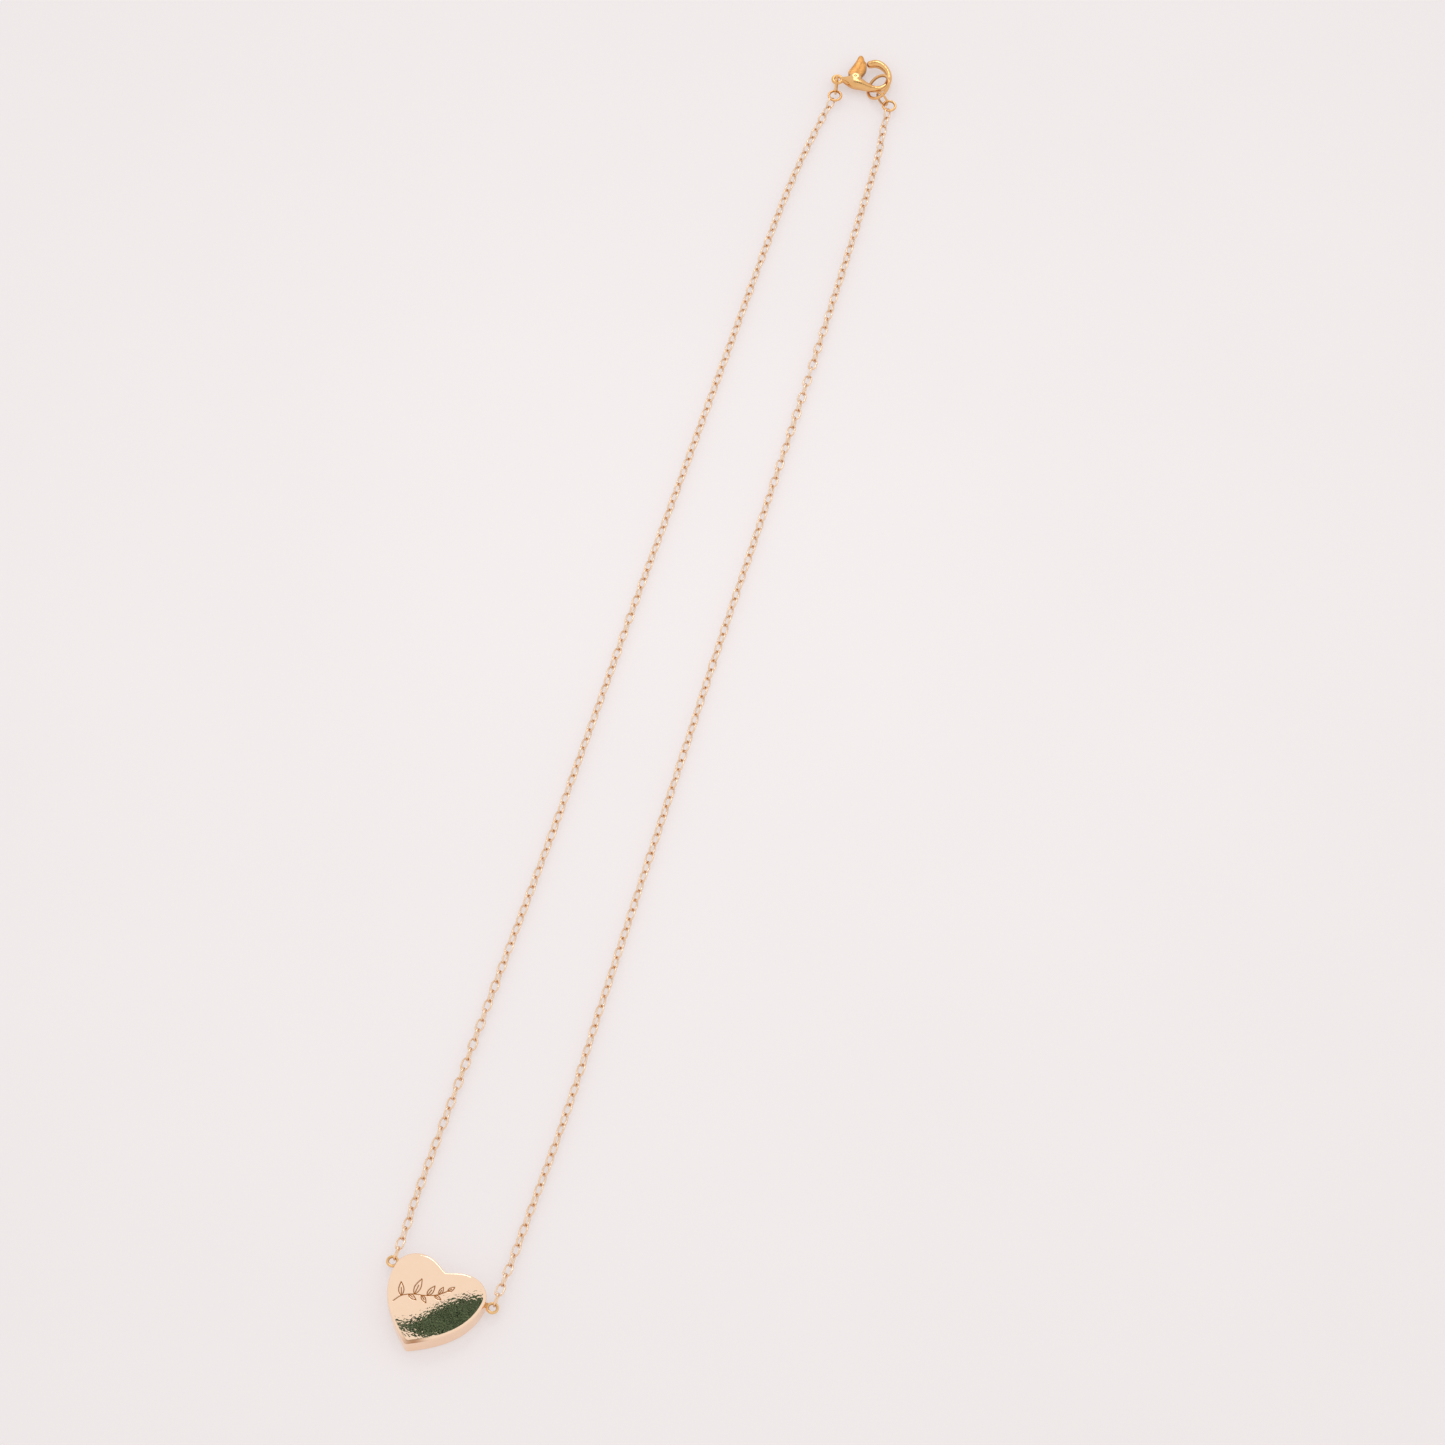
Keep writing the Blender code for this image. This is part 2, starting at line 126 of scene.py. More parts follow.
# The painted pool of light fades out at one over this scale, in metres, from its middle.
PAINTED_POOL_SCALE = 3.6
PAINTED_POOL_MIDDLE = np.array([-0.0194, 0.125, 0.0])
card_paint, tree, out = finish_named("coated_card_painted_glow")
place = add_node(tree, "TexCoord")
spot = {"Vector": place.outputs["Object"]}
cloud = add_node(tree, "TexNoise", {"Scale": 1 / CARD_CLOUD, "Detail": 2.0}, spot)
tint = add_node(tree, "ValToRGB", links={"Fac": cloud.outputs["Fac"]})
tint.color_ramp.elements[0].color = linear("#BBB6B6")
tint.color_ramp.elements[1].color = linear("#BFBABA")
centred = add_node(
    tree,
    "Mapping",
    {"Scale": (PAINTED_POOL_SCALE,) * 3, "Location": tuple(-PAINTED_POOL_SCALE * PAINTED_POOL_MIDDLE)},
    spot,
)
painted_pool = add_node(tree, "TexGradient", links={"Vector": centred.outputs["Vector"]}, gradient_type="SPHERICAL")
# Painted light: the card's glow, brightest in the painted pool under the necklace.
painted_glow = add_node(
    tree, "MapRange", {"To Min": CARD_PAINTED_GLOW[0], "To Max": CARD_PAINTED_GLOW[1]}, {"Value": painted_pool.outputs["Fac"]}
)
tooth = add_node(tree, "TexNoise", {"Scale": 1 / CARD_TOOTH, "Detail": 1.0}, spot)
relief = add_node(tree, "Bump", {"Distance": CARD_TOOTH_HEIGHT}, {"Height": tooth.outputs["Fac"]})
shader = add_node(
    tree,
    "BsdfPrincipled",
    {
        "Roughness": 0.75,
        "Specular IOR Level": 0.2,
        "Emission Color": linear("#F0EBEC"),
    },
    {
        "Base Color": tint.outputs["Color"],
        "Normal": relief.outputs["Normal"],
        "Emission Strength": painted_glow.outputs["Result"],
    },
)
tree.links.new(shader.outputs["BSDF"], out.inputs["Surface"])

TABLE_HALF = 3.0
TABLE_DROP = 0.02 * MM
corners = np.array([(-1, -1), (1, -1), (1, 1), (-1, 1)]) * TABLE_HALF
table_mesh = bpy.data.meshes.new("table")
table_mesh.from_pydata([(x, y, -TABLE_DROP) for x, y in corners], [], [(0, 1, 2, 3)])
table = object_from("table", table_mesh, card_paint)

ROOM_STRENGTH = 0.93
room = bpy.data.worlds.new("white_room")
room.use_nodes = True
walls = room.node_tree.nodes["Background"]
walls.inputs["Color"].default_value = linear("#FFFDFC")
walls.inputs["Strength"].default_value = ROOM_STRENGTH
scene.world = room

# A square softbox stands beyond the clasp and is tipped back over the necklace.
SOFTBOX_SIDE = 0.45
SOFTBOX_WATTS = 2.1
softbox = bpy.data.lights.new("softbox", "AREA")
softbox.shape = "RECTANGLE"
softbox.size = SOFTBOX_SIDE
softbox.size_y = SOFTBOX_SIDE
softbox.energy = SOFTBOX_WATTS
softbox_object = bpy.data.objects.new("softbox", softbox)
softbox_object.location = (-0.55, 1.38, 1.6)
softbox_object.rotation_euler = (math.radians(-38), math.radians(-16), 0.0)
softbox_object.visible_camera = False
scene.collection.objects.link(softbox_object)

# The flag is a bent strip, narrow at one end. Each long edge is a smooth curve through its points, given in
# metres to the nearest 10 mm. The cloth is dark green with a mottled nap, which the heart shows as specks.
FLAG_HEIGHT = 1.0
FLAG_FAR_EDGE = [(-0.38, 0.22), (-0.31, 0.23), (-0.25, 0.29), (-0.19, 0.40), (-0.11, 0.49), (0.03, 0.56)]
FLAG_NEAR_EDGE = [(-0.35, 0.20), (-0.26, 0.19), (-0.17, 0.20), (-0.11, 0.24), (-0.03, 0.30), (0.05, 0.44)]
FLAG_NAP = 1 / 60
flag_cloth, tree, out = finish_named("dark_green_flag_cloth")
place = add_node(tree, "TexCoord")
nap = add_node(tree, "TexNoise", {"Scale": 1 / FLAG_NAP, "Detail": 2.0}, {"Vector": place.outputs["Object"]})
shade = add_node(tree, "ValToRGB", links={"Fac": nap.outputs["Fac"]})
shade.color_ramp.elements[0].position = 0.44
shade.color_ramp.elements[0].color = linear("#060E0A")
shade.color_ramp.elements[1].position = 0.58
shade.color_ramp.elements[1].color = linear("#6A866F")
glow = add_node(tree, "Emission", {"Strength": 1.0}, {"Color": shade.outputs["Color"]})
tree.links.new(glow.outputs["Emission"], out.inputs["Surface"])
far_edge, _ = smooth_line(FLAG_FAR_EDGE)
near_edge, _ = smooth_line(FLAG_NEAR_EDGE)
border = np.vstack([far_edge[::8], near_edge[::-8]])
flag_mesh = bpy.data.meshes.new("flag")
flag_mesh.from_pydata([(x, y, FLAG_HEIGHT) for x, y in border], [], [tuple(range(len(border)))])
flag = object_from("flag", flag_mesh, flag_cloth)
flag.visible_camera = False
flag.visible_diffuse = False
flag.visible_shadow = False
flag.visible_transmission = False


# ---- Chain: soldered oval cable links of round wire, plated pale gold, each through the next. They lie as
# they fell, so their rolls drift along each side. Six lengths a side, each riding on its own body.
PLATE_CLOUD = 1 / 650
MARKED_ROUGHER = 0.25
# A noise bump as high as its grain is wide slopes by about this much.
NOISE_SLOPE = 2.5


def gold_plate(name, colour, shade, marks_and_painted_shade, roughness, grain, slope):
    """Polished gold plate on brass. Colour drifts to shade in clouds 1.5 mm across, a stored attribute turns it
    towards the third colour for real dark marks and for painted shade and painted reflection, and a fine
    orange peel of that grain breaks up reflections."""
    made, tree, out = finish_named(name)
    place = add_node(tree, "TexCoord")
    cloud = add_node(
        tree, "TexNoise", {"Scale": 1 / PLATE_CLOUD, "Detail": 2.0}, {"Vector": place.outputs["Object"]}
    )
    drift = add_node(
        tree,
        "Mix",
        {"A": linear(colour), "B": linear(shade)},
        {"Factor": cloud.outputs["Fac"]},
        data_type="RGBA",
    )
    marked = add_node(tree, "Attribute", attribute_name="marks_and_painted_shade")
    tone = add_node(
        tree,
        "Mix",
        {"B": linear(marks_and_painted_shade)},
        {"Factor": marked.outputs["Fac"], "A": drift.outputs["Result"]},
        data_type="RGBA",
    )
    matt = add_node(
        tree,
        "MapRange",
        {"To Min": roughness, "To Max": roughness + MARKED_ROUGHER},
        {"Value": marked.outputs["Fac"]},
    )
    peel = add_node(
        tree, "TexNoise", {"Scale": 1 / grain, "Detail": 1.0}, {"Vector": place.outputs["Object"]}
    )
    relief = add_node(
        tree, "Bump", {"Distance": slope * grain / NOISE_SLOPE}, {"Height": peel.outputs["Fac"]}
    )
    shader = add_node(
        tree,
        "BsdfPrincipled",
        {"Metallic": 1.0},
        {
            "Base Color": tone.outputs["Result"],
            "Roughness": matt.outputs["Result"],
            "Normal": relief.outputs["Normal"],
        },
    )
    tree.links.new(shader.outputs["BSDF"], out.inputs["Surface"])
    return made


def skin(name, grid, ends="loop"):
    """Closed mesh over a grid of rings: row after row joined by quads, each row closed on itself. With
    ends "loop" the last row joins the first; with "poles" each end row closes on its own middle point."""
    rows, around = grid.shape[:2]
    points = grid.reshape(-1, 3)
    a = np.arange(rows if ends == "loop" else rows - 1)[:, None] * around
    b = (a + around) % (rows * around)
    j = np.arange(around)[None, :]
    k = (j + 1) % around
    quads = np.stack([a + j, b + j, b + k, a + k], -1).reshape(-1, 4)
    tris = np.zeros((0, 3), int)
    if ends == "poles":
        points = np.vstack([points, grid[0].mean(0), grid[-1].mean(0)])
        ring = np.arange(around)
        after = (ring + 1) % around
        top = np.stack([ring, after, np.full(around, rows * around)], -1)
        last = (rows - 1) * around
        low = np.stack([last + after, last + ring, np.full(around, rows * around + 1)], -1)
        tris = np.vstack([top, low])
    return mesh_of(name, points, quads, tris)


def mesh_of(name, points, quads, tris):
    """Smooth mesh from arrays, turned so that the volume its faces enclose is positive."""
    halves = np.vstack([quads[:, [0, 1, 2]], quads[:, [0, 2, 3]], tris])
    p, q, r = points[halves[:, 0]], points[halves[:, 1]], points[halves[:, 2]]
    if np.einsum("ij,ij->i", p, np.cross(q, r)).sum() < 0:
        quads, tris = quads[:, ::-1], tris[:, ::-1]
    mesh = bpy.data.meshes.new(name)
    mesh.vertices.add(len(points))
    mesh.vertices.foreach_set("co", points.astype(np.float32).ravel())
    mesh.loops.add(quads.size + tris.size)
    mesh.loops.foreach_set("vertex_index", np.concatenate([quads.ravel(), tris.ravel()]).astype(np.int32))
    starts = np.concatenate([np.arange(len(quads)) * 4, quads.size + np.arange(len(tris)) * 3])
    mesh.polygons.add(len(starts))
    mesh.polygons.foreach_set("loop_start", starts.astype(np.int32))
    mesh.update(calc_edges=True)
    mesh.validate()
    mesh.shade_smooth()
    return mesh


def store_marks_and_shade(mesh, values):
    """Stores how far each point turns to the darker colour, 0 to 1, for real dark marks and for painted shade.
    """
    kept = mesh.attributes.new("marks_and_painted_shade", "FLOAT", "POINT")
    kept.data.foreach_set("value", values.astype(np.float32).ravel())


def unit(v):
    """Each vector over its own length."""
    return v / np.linalg.norm(v, axis=-1, keepdims=True)


def point_at(line, along, distance):
    """The point of the line at each distance along it, by straight steps between its points."""
    return np.stack([np.interp(distance, along, line[:, k]) for k in range(line.shape[1])], -1)


LINK_LENGTH = 2.2 * MM
LINK_WIDTH = 1.35 * MM
LINK_WIRE = 0.15 * MM
LINK_PITCH = LINK_LENGTH - 4 * LINK_WIRE
# How much painted shade the outside of a bend has, beside 1 for the inside, where the next link passes through.
OUTER_BEND_SHADE = 0.3


def link_surface(bend_steps, sides):
    """Oval link lying flat, its length along Y: two straight sides and two half-round bends of one wire.
    Also gives its painted shade, more the nearer a point is to the inside of a bend, where the next link
    passes."""
    bend = LINK_WIDTH / 2 - LINK_WIRE
    straight = LINK_LENGTH / 2 - LINK_WIRE - bend
    a = np.linspace(0.0, math.pi, bend_steps)
    turn = np.concatenate([a, a + math.pi])
    end = np.where(np.arange(len(turn)) < bend_steps, straight, -straight)
    out = np.stack([np.cos(turn), np.sin(turn), 0 * turn], -1)
    middle = out * bend
    middle[:, 1] += end
    b = np.arange(sides) * 2 * math.pi / sides
    tube = out[:, None] * np.cos(b)[None, :, None] + np.array([0, 0, 1.0]) * np.sin(b)[None, :, None]
    # Painted shade: the links are darker inside their bends, where one link meets the next and shade falls.
    inwards = OUTER_BEND_SHADE + (1 - OUTER_BEND_SHADE) * np.clip(-np.cos(b), 0, 1)
    bend_shade = inwards[None, :] * np.sin(turn)[:, None] ** 2
    return middle[:, None] + tube * LINK_WIRE, bend_shade


def links_along(name, line, along, first, count, rolls, bend_steps=5, sides=6):
    """Copies of the link surface down the line, one every pitch, each turned about the line by its roll."""
    shape, bend_shade = link_surface(bend_steps, sides)
    middle = (first + np.arange(count) + 0.5) * LINK_PITCH
    centre = point_at(line, along, middle)
    step = 0.2 * MM
    ahead = unit(point_at(line, along, middle + step) - point_at(line, along, middle - step))
    across = unit(np.cross(ahead, (0.0, 0.0, 1.0)))
    up = np.cross(across, ahead)
    c, s = np.cos(rolls)[:, None], np.sin(rolls)[:, None]
    axes = np.stack([across * c + up * s, ahead, up * c - across * s], 1)
    placed = centre[:, None, None] + np.einsum("uvk,nkc->nuvc", shape, axes)
    rows, around = shape.shape[:2]
    n = np.arange(count)[:, None, None] * rows * around
    i = np.arange(rows)[None, :, None]
    j = np.arange(around)[None, None, :]
    i2, j2 = (i + 1) % rows, (j + 1) % around
    row, row2 = n + i * around, n + i2 * around
    quads = np.stack([row + j, row + j2, row2 + j2, row2 + j], -1)
    mesh = mesh_of(name, placed.reshape(-1, 3), quads.reshape(-1, 4), np.zeros((0, 3), int))
    store_marks_and_shade(mesh, np.tile(bend_shade.ravel(), count))
    return mesh


# Plated brass chain: pale warm gold, softly polished, with painted shade that deepens its colour round its
# bends.
chain_gold = gold_plate("plated_cable_chain", "#FFE9D2", "#F3CDA4", "#C47C1E", 0.16, 0.0003, 0.06)

LEFT_ROUTE = [
    (-7.93, 5.92, 1.20), (-8.7, 10.0, 0.92), (-9.8, 15.0, 0.70), (-13.0, 33.7, 0.70),
    (-16.3, 53.3, 0.70), (-19.7, 73.5, 0.70), (-23.4, 94.1, 0.70), (-27.3, 115.4, 0.70),
    (-31.1, 137.4, 0.70), (-35.1, 160.1, 0.70), (-39.2, 183.4, 0.70), (-41.0, 195.6, 0.70),
    (-41.9, 206.0, 0.72), (-42.0, 213.0, 1.25),
]
RIGHT_ROUTE = [
    (7.50, 5.92, 1.20), (6.9, 10.0, 0.92), (6.1, 15.0, 0.70), (3.1, 33.5, 0.70),
    (-0.7, 52.6, 0.70), (-4.6, 72.2, 0.70), (-8.6, 92.5, 0.70), (-12.7, 113.3, 0.70),
    (-16.8, 135.0, 0.70), (-21.1, 157.2, 0.70), (-25.7, 180.0, 0.70), (-30.3, 202.0, 0.70),
    (-32.3, 209.0, 0.72), (-34.0, 216.0, 1.25),
]
LEFT_LINKS = (22, 22, 22, 22, 21, 21)
RIGHT_LINKS = (22, 22, 22, 22, 22, 22)
# How far the links' roll has drifted, in degrees, at even steps up each side.
LEFT_DRIFT = (20, 18, 6, 32, 28, 34, 14, 36, 38, 34, 40, 30, 45)
RIGHT_DRIFT = (4, 30, 26, 34, 30, 34, 44, 38, 12, 4, 34, 32, 45)

# Every second link is turned a quarter, and each lies a few degrees off the drift.
ROLL_SPREAD = math.radians(5)
PATH_POINTS = 12
wobble = np.random.default_rng(5)
route_ends = {}
for side, route, lengths, drift in (
    ("left", LEFT_ROUTE, LEFT_LINKS, LEFT_DRIFT),
    ("right", RIGHT_ROUTE, RIGHT_LINKS, RIGHT_DRIFT),
):
    line, along = smooth_line(np.array(route) * MM)
    route_ends[side] = (line, along)
    done = 0
    for number, count in enumerate(lengths, 1):
        order = done + np.arange(count)
        slow = np.radians(np.interp(order, np.linspace(0, sum(lengths), len(drift)), drift))
        rolls = order % 2 * math.pi / 2 + slow + wobble.normal(0.0, ROLL_SPREAD, count)
        mesh = links_along(f"links_{side}_{number}", line, along, done, count, rolls)
        links = object_from(mesh.name, mesh, chain_gold)
        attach(links, f"{side}_chain_{number}")
        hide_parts(f"chain_{side}_{number}")
        reach = np.linspace(done, done + count, PATH_POINTS) * LINK_PITCH
        done += count


# ---- Heart: a solid brass heart, die cut, domed a little on its face, mirror polished and plated. Its edge
# rolls over into an upright wall. A leafy sprig is cut into the face by laser, and shows dark.
HALF_WIDTH = 6.8 * MM
WIDEST_Y = 3.2 * MM
TIP_Y = -6.55 * MM
NOTCH_Y = 5.1 * MM
LOBE_X = 3.4 * MM
LOBE_Y = 6.25 * MM
WALL_TOP = 2.45 * MM
FACE_TOP = 3.178 * MM
FACE_EDGE = 0.945
# Height that the dome loses for each metre squared from the heart's middle.
DOME = 0.3 * MM / (6.36 * MM) ** 2


def bezier(a, b, c, d, steps):
    """Cubic curve from a to d, drawn by b and c, without its last point."""
    t = np.linspace(0.0, 1.0, steps, endpoint=False)[:, None]
    a, b, c, d = (np.array(p, float) for p in (a, b, c, d))
    return (1 - t) ** 3 * a + 3 * (1 - t) ** 2 * t * b + 3 * (1 - t) * t * t * c + t**3 * d


def heart_outline():
    """The heart's edge from its notch round: three curves and a rounded tip, then their mirror image."""
    by_tip = (0.35 * MM, TIP_Y + 0.12 * MM)
    notch, lobe, widest = (0, NOTCH_Y), (LOBE_X, LOBE_Y), (HALF_WIDTH, WIDEST_Y)
    half = np.vstack([
        bezier(notch, (0.7 * MM, NOTCH_Y + 0.1 * MM), (LOBE_X - 1.5 * MM, LOBE_Y), lobe, 60),
        bezier(lobe, (LOBE_X + 1.9 * MM, LOBE_Y), (HALF_WIDTH, WIDEST_Y + 1.7 * MM), widest, 70),
        bezier(widest, (HALF_WIDTH + 0.1 * MM, -0.6 * MM), (4.7 * MM, -3.6 * MM), by_tip, 136),
        bezier(by_tip, (0.2 * MM, TIP_Y + 0.02 * MM), (0.1 * MM, TIP_Y), (0, TIP_Y), 14),
        [(0, TIP_Y)],
    ])
    return np.vstack([half, half[1:-1][::-1] * (-1, 1)])


# The sprig, in millimetres along and across its run, which is turned to climb over the heart.
SPRIG_TURN = math.radians(26.7)
STEM = [(-4.75, 0.30), (-3.6, 1.05), (-2.0, 1.20), (-0.4, 0.95), (1.2, 1.05), (2.6, 1.60)]
# Leaves: how far along the stem, the angle they spring at in degrees, length and half width.
LEAVES = [
    (0.17, 64, 2.05, 0.36), (0.30, -46, 1.35, 0.26), (0.40, 68, 2.45, 0.42), (0.53, -50, 1.30, 0.26),
    (0.63, 58, 1.75, 0.34), (0.76, -44, 1.10, 0.23), (0.84, 50, 1.20, 0.26), (1.00, 8, 1.10, 0.24),
]
CUT_WIDTH = 0.15 * MM
CUT_DEPTH = 0.05 * MM


def turn_matrix(angle):
    """Rows of (x, y) turn anticlockwise by the angle when they are multiplied by this."""
    return np.array([[math.cos(angle), math.sin(angle)], [-math.sin(angle), math.cos(angle)]])


def sprig_segments():
    """Both ends of every short stroke of the sprig, on the face. A leaf is two bowed sides, each its half
    width times the sine of the way along it, drawn towards its base, and a midrib over half its length."""
    stem, along = smooth_line(np.array(STEM))
    strokes = [stem[::6]]
    for where, angle, length, half in LEAVES:
        base = point_at(stem, along, where * along[-1])
        axis = unit(base - point_at(stem, along, (where - 0.06) * along[-1])) @ turn_matrix(math.radians(angle))
        side = np.array([-axis[1], axis[0]])
        t = np.linspace(0.0, 1.0, 15)
        bow = half * np.sin(math.pi * t**0.8)
        strokes += [base + axis * (t * length)[:, None] + side * (k * bow)[:, None] for k in (1, -1)]
        strokes.append(base + axis * (t[:9] * length)[:, None])
    strokes = [stroke @ turn_matrix(SPRIG_TURN) * MM for stroke in strokes]
    return np.vstack([s[:-1] for s in strokes]), np.vstack([s[1:] for s in strokes])


def distance_to_strokes(points, a, b):
    """Distance of each point from the nearest of the segments a to b: the foot of the perpendicular on
    each segment, held between its ends."""
    run = b - a
    t = ((points[:, None] - a) * run).sum(-1) / (run * run).sum(-1)
    foot = a + np.clip(t, 0, 1)[..., None] * run
    return np.linalg.norm(points[:, None] - foot, axis=-1).min(1)


edge = heart_outline()
ways = np.linspace(0.01, FACE_EDGE, 128)
face_xy = ways[:, None, None] * edge
face_z = FACE_TOP - DOME * (face_xy**2).sum(-1)
# The edge rolls over in a quarter ellipse, from the dome's own slope to upright.
roll = np.linspace(0.0, math.pi / 2, 13)[1:]
roll_xy = (FACE_EDGE + (1 - FACE_EDGE) * np.sin(roll))[:, None, None] * edge
rim_z = FACE_TOP - DOME * (roll_xy**2).sum(-1)
roll_z = WALL_TOP + (rim_z - WALL_TOP) * np.cos(roll)[:, None] ** 0.9
# The wall, its eased foot and the flat back: share of the outline, and height in millimetres.
WALL = [
    (1.0, 1.9), (1.0, 1.2), (1.0, 0.5), (1.0, 0.24), (0.996, 0.12), (0.985, 0.035), (0.968, 0.0),
    (0.6, 0.0), (0.05, 0.0),
]
wall_share, wall_height = np.array(WALL).T
wall_xy = wall_share[:, None, None] * edge
wall_z = np.broadcast_to(wall_height[:, None] * MM, wall_xy.shape[:2])
heart_xy = np.vstack([face_xy, roll_xy, wall_xy])
heart_z = np.vstack([face_z, roll_z, wall_z])
# The cut is a rounded groove. It is dark to just past its edge, and fades over a quarter of its width.
on_face = np.zeros(heart_z.shape, bool)
on_face[: len(ways)] = True
off_stroke = distance_to_strokes(heart_xy[on_face], *sprig_segments()) / (CUT_WIDTH / 2)
heart_z[on_face] -= CUT_DEPTH * (1 - np.clip(off_stroke, 0, 1) ** 2)
dark = np.zeros(heart_z.shape)
dark[on_face] = np.clip((1.15 - off_stroke) / 0.5, 0, 1)
# Painted reflection: where the face rolls over beside the tip, a brown reflection is painted in as deeper
# colour.
TIP_PAINTED_REFLECTION = 0.75
TIP_REFLECTION_REACH = 1.5 * MM
TIP_REFLECTION_MIDDLE = (1.0 * MM, TIP_Y + 0.5 * MM)
from_tip = np.linalg.norm(heart_xy - TIP_REFLECTION_MIDDLE, axis=-1)
painted_tip_reflection = np.zeros(heart_z.shape)
painted_tip_reflection[len(ways) - 4 : len(ways) + len(roll) - 3] = TIP_PAINTED_REFLECTION
dark = np.maximum(dark, painted_tip_reflection * np.exp(-((from_tip / TIP_REFLECTION_REACH) ** 2)))
heart_mesh = skin("heart", np.dstack([heart_xy, heart_z]), ends="poles")
store_marks_and_shade(heart_mesh, np.concatenate([dark.ravel(), [0.0, 0.0]]))
# Mirror-polished plate, paler than the chain, with an orange peel that is drawn coarse enough to show.
heart_gold = gold_plate("polished_heart_plate", "#FFE2C8", "#FDDDBE", "#9C5A14", 0.04, 0.00039, 0.048)
heart = object_from("heart", heart_mesh, heart_gold)
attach(heart, "pendant")
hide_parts("heart_pendant")


# ---- Side rings, solder and end links: a round ring is soldered flat to each side of the heart, low on its
# wall, with a bead of solder. One link on edge joins it to the chain.
X_AXIS, Y_AXIS, Z_AXIS = np.eye(3)
RING_STEPS = 40
RING_SIDES = 14
# How much darker the wire is drawn where it faces the ring's middle.
RING_INSIDE_DARKER = 0.55


def ring_surface(centre, radius, wire, axis_a, axis_b):
    """Torus: a circle of the given radius in the plane of two axes, with a round wire drawn along it."""
    a = np.arange(RING_STEPS) * 2 * math.pi / RING_STEPS
    b = np.arange(RING_SIDES) * 2 * math.pi / RING_SIDES
    out = np.cos(a)[:, None] * axis_a + np.sin(a)[:, None] * axis_b
    up = np.cross(axis_a, axis_b)
    flat = out[:, None] * (radius + wire * np.cos(b))[None, :, None]
    return np.array(centre) + flat + up * (wire * np.sin(b))[None, :, None]


def add_ring(name, body, node, finish, slot, *shape):
    """Adds a ring that rides on the body and stands for the node. The further the wire's surface faces
    the ring's middle, the darker it is drawn."""
    mesh = skin(name, ring_surface(*shape))
    b = np.arange(RING_SIDES) * 2 * math.pi / RING_SIDES
    inwards = RING_INSIDE_DARKER * np.clip(-np.cos(b), 0, 1) ** 2
    store_marks_and_shade(mesh, np.broadcast_to(inwards, (RING_STEPS, RING_SIDES)))
    made = object_from(name, mesh, finish)
    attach(made, body)
    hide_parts(node)
    return made


def box_middle(node):
    """The middle of the node's box, and half its size each way."""
    low, high = (np.array(corner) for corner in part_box(node))
    return (low + high) / 2, (high - low) / 2


RING_RADIUS = 0.69 * MM
RING_WIRE = 0.21 * MM
BEAD_HALF_SIZE = np.array([0.20, 0.42, 0.30]) * MM
BEAD_SUNK = 0.02 * MM
BEAD_HOLLOW = 0.35
POLE = 0.12
# Polished plate like the heart's, but yellower: small wire that a mop reaches less well.
ring_gold = gold_plate("polished_ring_plate", "#F4CC98", "#E9B878", "#8A5A1C", 0.14, 0.0003, 0.03)
for side, sign in (("left", -1), ("right", 1)):
    middle, _ = box_middle(f"pendant_ring_{side}")
    add_ring(
        f"side_ring_{side}", "pendant", f"pendant_ring_{side}", ring_gold, "heart_gold",
        middle, RING_RADIUS, RING_WIRE, X_AXIS, Y_AXIS,
    )
    # Solder bead: an ellipsoid half sunk in the heart's wall and the ring.
    a = np.linspace(POLE, math.pi - POLE, 14)[:, None]
    b = np.linspace(0.0, 2 * math.pi, 24, endpoint=False)[None, :]
    bead = np.stack([np.sin(a) * np.cos(b), np.sin(a) * np.sin(b), np.cos(a) + 0 * b], -1)
    bead = bead * BEAD_HALF_SIZE + middle - X_AXIS * sign * (RING_RADIUS + RING_WIRE + BEAD_SUNK)
    bead_mesh = skin(f"solder_{side}", bead, ends="poles")
    store_marks_and_shade(bead_mesh, np.full(len(bead_mesh.vertices), BEAD_HOLLOW))
    solder = object_from(f"solder_{side}", bead_mesh, ring_gold)
    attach(solder, "pendant")
    # End link on edge: its far bend is where the chain's line starts.
    line, along = route_ends[side]
    hinge = middle + Y_AXIS * RING_RADIUS
    ahead = unit(line[0] - hinge)
    start = line[0] - ahead * LINK_PITCH
    joint_along = np.array([0, 2 * LINK_PITCH])
    joint_line = start + ahead * joint_along[:, None]
    on_edge = np.array([math.pi / 2])
    mesh = links_along(f"end_link_{side}_wire", joint_line, joint_along, 0, 1, on_edge, 13, 12)
    link = object_from(mesh.name, mesh, chain_gold)
    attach(link, f"{side}_end_link")
    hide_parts(f"end_link_{side}")


# ---- Clasp end rings: the flat ring at the end of each chain, the jump rings on edge that tie them on, and
# the wider catch ring that the claw holds. Drawn wire, butted and soldered.
# Cast and tumbled, then plated: a deeper yellow than the heart's, with a soft orange peel.
clasp_gold = gold_plate("cast_clasp_plate", "#F6CD96", "#DFA25C", "#7A4A14", 0.15, 0.0004, 0.12)
END_RADIUS = 0.95 * MM
END_WIRE = 0.20 * MM
JUMP_WIRE = 0.18 * MM
CATCH_RADIUS = 2.05 * MM
CATCH_WIRE = 0.25 * MM
CATCH_TILT = math.radians(38.0)
CLASP_TURN = math.radians(27.0)
U_AXIS = np.array([math.cos(CLASP_TURN), math.sin(CLASP_TURN), 0.0])
V_AXIS = np.array([-math.sin(CLASP_TURN), math.cos(CLASP_TURN), 0.0])
